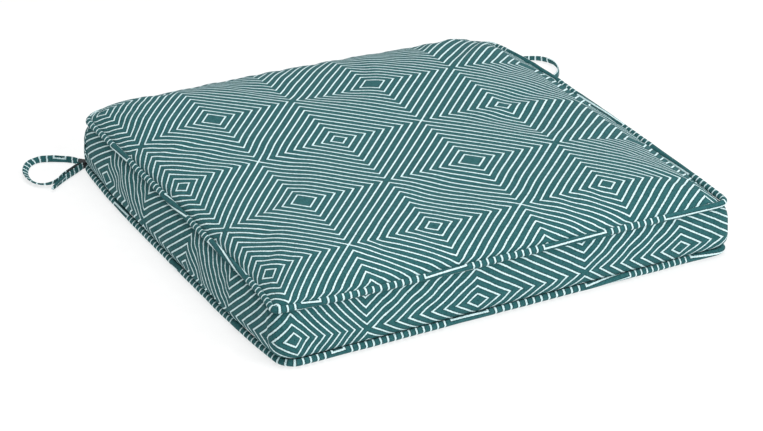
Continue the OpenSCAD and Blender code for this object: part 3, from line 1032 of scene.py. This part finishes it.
cut = int(np.searchsorted(LINES, BACK_SEAM_Y / HALF))
strip = np.arange(CELLS - cut, 2 * CELLS + cut + 1)
at, heights = np.array(BOXING_REPEATS).T
place = ROUND[strip] * FRONT_SCALE / MM
along = np.interp(place, at, np.arange(len(at)) * HALF_PERIOD_Y)
add_band("boxing_strip", SIDES[:, strip], ROUND[strip], along, np.interp(place, at, heights) * MM)

back = np.arange(2 * CELLS + cut, 5 * CELLS - cut + 1) % LOOP
middle_row = SIDES[MIDDLE_ROW, back]
closing = np.clip((np.abs(middle_row[:, 0]) - ZIP_HALF) / SLOT_CLOSES_OVER, 0, 1)
closing = (closing**2 * (3 - 2 * closing))[:, None]
run = lengths_along(middle_row)
for name, rows, edge in (
    ("back_boxing_upper", slice(0, MIDDLE_ROW), -1), ("back_boxing_lower", slice(MIDDLE_ROW + 1, None), 0),
):
    points = SIDES[rows][:, back].copy()
    points[edge] += (middle_row - points[edge]) * closing
    add_band(name, points, run, run / BACK_STEP, BACK_CENTRE_Z)


# ---- The piping, and the cord inside it ----

WELT_SIDES = 24
WELT_SEAM = 0.375  # share of the way round the piping at which its fabric's middle lies
WELT_UNEVEN = 0.05
WELT_PRESSED = 0.91  # its radius where it is pressed flat, and the way it is pressed
WELT_PRESS_ANGLE = math.radians(135)
CORD_R = (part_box("top_welt_cord")[1].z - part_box("top_welt_cord")[0].z) / 2
CORD_LAY = 13 * MM  # length of one turn of the strands
CORD_GROOVE = 0.14


def seam_ring(z, radius, share, spacing):
    """The middle line of the piping, at even spacing."""
    fine = np.linspace(0, LOOP, LOOP * 6, endpoint=False)
    u, v = (np.interp(fine, np.arange(LOOP + 1), np.append(q, q[0])) for q in (LOOP_U, LOOP_V))
    x, y = rounded(u, v, HALF, corner_radius(radius, u, v))
    return resampled(leaned(x, y, np.full_like(x, z), u, v, share), spacing, closed=True)


def add_ring(name, ring, section, material, slot, layers_of, *settings):
    rows, sides = section.shape[:2]
    faces, values = grid_quads(rows, sides, wrap_rows=True, wrap_columns=True)
    run = lengths_along(np.vstack([ring, ring[:1]])) - front_middle(ring)
    outline = lengths_along(np.vstack([section[0], section[0, :1]]))
    along = np.broadcast_to(run[:, None], (rows + 1, sides + 1))
    around = np.broadcast_to(outline - WELT_SEAM * outline[-1], along.shape)
    layers = layers_of(along, around, *settings)
    piece = add_mesh(name, swept(ring, section, closed=True), faces, material, layers, values)
    return finish_piece(piece, "cushion", slot, name)


def welt_section(ring, seed):
    """A piping pressed a little flat on its outer upper face, and uneven from the hand that sewed it."""
    a = circle(WELT_SIDES)
    uneven = 1 + WELT_UNEVEN * wander(ring, 14 * MM, seed)
    b = a - WELT_PRESS_ANGLE
    pressed = WELT_PRESSED / (np.abs(np.cos(b)) ** 3 + np.abs(np.sin(b)) ** 3) ** (1 / 3)
    return uneven[:, None, None] * PIPING_R * (pressed * np.stack([np.cos(a), np.sin(a)])).T


def twisted_section(ring):
    """Three strands laid round each other."""
    a = circle(WELT_SIDES)
    run = lengths_along(np.vstack([ring, ring[:1]]))
    twist = run[:-1] / run[-1] * round(run[-1] / CORD_LAY) * 2 * math.pi
    strands = np.abs(np.cos(1.5 * (a[None] - twist[:, None])))
    radius = CORD_R * (1 - CORD_GROOVE + CORD_GROOVE * strands)
    return radius[..., None] * np.stack([np.cos(a), np.sin(a)], -1)


def cord_layers(along, around):
    return {"weave": np.stack([along, around + along * 0.6], -1)}


def front_middle(ring):
    """How far along the ring the front's middle is."""
    front = np.flatnonzero(ring[:, 1] < -0.9 * HALF)
    return lengths_along(ring)[front[np.argmin(np.abs(ring[front, 0]))]]


for level, z, radius, share, seed, turns in (
    ("top", TOP_SEAM, TOP_CORNER_R, 1.0, 3, TOP_PIPING_TURNS),
    ("bottom", BOTTOM_SEAM, BOTTOM_CORNER_R, 0.0, 8, BOTTOM_PIPING_TURNS),
):
    ring = seam_ring(z, radius, share, 2.2 * MM)
    ring[:, 2] += wander(ring, 30 * MM, seed) * 0.5 * MM
    cover, cord = welt_section(ring, seed), twisted_section(ring)
    add_ring(f"{level}_welt_cover", ring, cover, FABRIC, "piping_fabric", bias_layers, turns)
    add_ring(f"{level}_welt_cord", ring, cord, CORD, "filler_cord", cord_layers)


# ---- Foam and wadding ----

WADDING_GAP = 5.2 * MM  # between the top panel's outer face and the wadding
WADDING_SQUEEZED = 1.5 * MM  # its thickness where the cover presses it most
FOAM_GAP = 0.5 * MM
BAND_GAP = 6 * MM  # between the top seam and the band round the foam
SHEET_POINTS = 49
SHEET_CORNER_R = 15 * MM
BAND_CORNER_R = 17 * MM
BAND_SIDES = 16


def add_sheet(name, material, slot, heights):
    """A padded sheet between the two heights, round at its edge."""
    cad_low, cad_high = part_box(name)
    half, count = cad_high.x, SHEET_POINTS
    t = np.linspace(-1, 1, count)
    t = 1.3 * t - 0.3 * t**3
    u, v = np.meshgrid(t, t, indexing="ij")
    x, y = rounded(u, v, half, SHEET_CORNER_R)
    edge = np.maximum(np.abs(u), np.abs(v))
    # The cover's height, over a sheet that is narrower than the pad.
    wide_u, wide_v = u * half / HALF, v * half / HALF
    cover = crowned(wide_u, wide_v) + top_lift(wide_u, wide_v) - WADDING_GAP
    low, high = heights(cad_low.z, cad_high.z, cover, edge)
    thick = (high - low) / 2 * (1 - np.clip((edge - 0.985) / 0.015, 0, 1) ** 2 * 0.8)
    base = np.stack([x, y, np.zeros_like(x)], -1)
    lumps = wander(base, 26 * MM, len(name)) * 0.25 * MM
    upper, lower = base.copy(), base.copy()
    upper[..., 2] = (low + high) / 2 + thick + lumps
    lower[..., 2] = (low + high) / 2 - thick
    faces, _ = grid_quads(count, count)
    rise, fall = np.arange(count - 1), np.arange(count - 1, 0, -1)
    border = np.concatenate([rise * count, (count - 1) * count + rise, fall * count + count - 1, fall])
    below = border + count * count
    rim = np.stack([border, below, np.roll(below, -1), np.roll(border, -1)], -1)
    faces = np.vstack([faces, faces[:, ::-1] + count * count, rim])
    piece = smoothed(add_mesh(name, np.stack([upper, lower]), faces, material))
    return finish_piece(piece, "cushion", slot, name)


def foam_heights(low, high, cover, edge):
    """The foam is pressed down where the cover droops, and the wadding with it."""
    return low, np.minimum(high, cover - WADDING_SQUEEZED - FOAM_GAP)


def upper_heights(low, high, cover, edge):
    return np.minimum(low, cover - WADDING_SQUEEZED), cover


def lower_heights(low, high, cover, edge):
    return low + 2 * MM * past_flat(edge) ** 3, high


add_sheet("foam_core", FOAM, "foam", foam_heights)
add_sheet("wadding_top", WADDING, "wadding", upper_heights)
add_sheet("wadding_bottom", WADDING, "wadding", lower_heights)


def add_side_band():
    """The wadding wrapped round the foam's edge."""
    low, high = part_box("wadding_side_band")
    u, v = LOOP_U[::2], LOOP_V[::2]
    outer, inner = high.x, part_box("foam_core")[1].x + 0.3 * MM
    ceiling = np.minimum(high.z, TOP_SEAM + top_lift(u, v) - BAND_GAP)
    profile = []
    for across, tall in zip(*squared(circle(BAND_SIDES), 0.5, 0.35)):
        x, y = rounded(u, v, (outer + inner) / 2 + across * (outer - inner) / 2, BAND_CORNER_R)
        z = (low.z + ceiling) / 2 + tall * (ceiling - low.z) / 2
        profile.append(np.stack([x, y, z], -1))
    points = np.array(profile)
    points[..., 2] += wander(points, 22 * MM, 4) * 0.2 * MM
    faces, _ = grid_quads(*points.shape[:2], wrap_rows=True, wrap_columns=True)
    piece = smoothed(add_mesh("wadding_side_band", points, faces, WADDING))
    finish_piece(piece, "cushion", "wadding", "wadding_side_band")


add_side_band()


# ---- The zip ----

TOOTH_PITCH = 1.4 * MM
TOOTH_W = 0.95 * MM
TOOTH_SIDES = 8
NOSE_REACH = 0.2 * MM  # of a tooth past its own row
# A tooth's width and depth, as shares, at stations from its root to its nose.
TOOTH_STATIONS = ((0.0, 0.7, 0.55), (0.08, 1.0, 0.9), (0.55, 1.0, 1.0), (0.85, 0.72, 0.8), (1.0, 0.45, 0.5))


def add_teeth(node_name, side):
    """A row of moulded teeth along the tape, each a rounded bar with a nose towards the other row."""
    low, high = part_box(node_name)
    z_root, z_nose = (high.z, low.z - NOSE_REACH) if side > 0 else (low.z, high.z + NOSE_REACH)
    across, deep = squared(circle(TOOTH_SIDES) + math.pi / TOOTH_SIDES, 0.8, 0.8)
    tooth = []
    for along, width, depth in TOOTH_STATIONS:
        x = across * width * TOOTH_W / 2
        y = (low.y + high.y) / 2 + deep * (high.y - low.y) / 2 * depth
        tooth.append(np.stack([x, y, np.full(TOOTH_SIDES, z_root + (z_nose - z_root) * along)], -1))
    faces, _ = grid_quads(len(tooth), TOOTH_SIDES, wrap_columns=True)
    faces = faces if side < 0 else faces[:, ::-1]
    tooth = np.vstack(tooth)
    ends = np.array([range(TOOTH_SIDES), range(len(tooth) - 1, len(tooth) - 1 - TOOTH_SIDES, -1)])
    ends = ends if side > 0 else ends[:, ::-1]
    start = low.x + TOOTH_PITCH / 2 + (0 if side > 0 else TOOTH_PITCH / 2)
    points, quads, caps = [], [], []
    for k in range(int((high.x - low.x) / TOOTH_PITCH) - 1):
        points.append(tooth + np.array([start + k * TOOTH_PITCH, 0, 0]))
        quads += list(faces + k * len(tooth))
        caps += list(ends + k * len(tooth))
    piece = add_mesh(node_name, np.vstack(points), quads + caps, NYLON)
    return finish_piece(piece, "cushion", "zip_teeth", node_name)


add_teeth("zip_teeth_upper", 1)
add_teeth("zip_teeth_lower", -1)


def dress(node_name, material):
    """Gives a CAD node its finish."""
    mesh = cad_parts[node_name].data
    mesh.materials.clear()
    mesh.materials.append(material)
    mesh.polygons.foreach_set("material_index", np.zeros(len(mesh.polygons), int))


for node_name in ("zip_tape_upper", "zip_tape_lower"):
    dress(node_name, TAPE)
for node_name in ("zip_slider", "zip_pull", "zip_top_stops", "zip_bottom_stop"):
    dress(node_name, METAL)
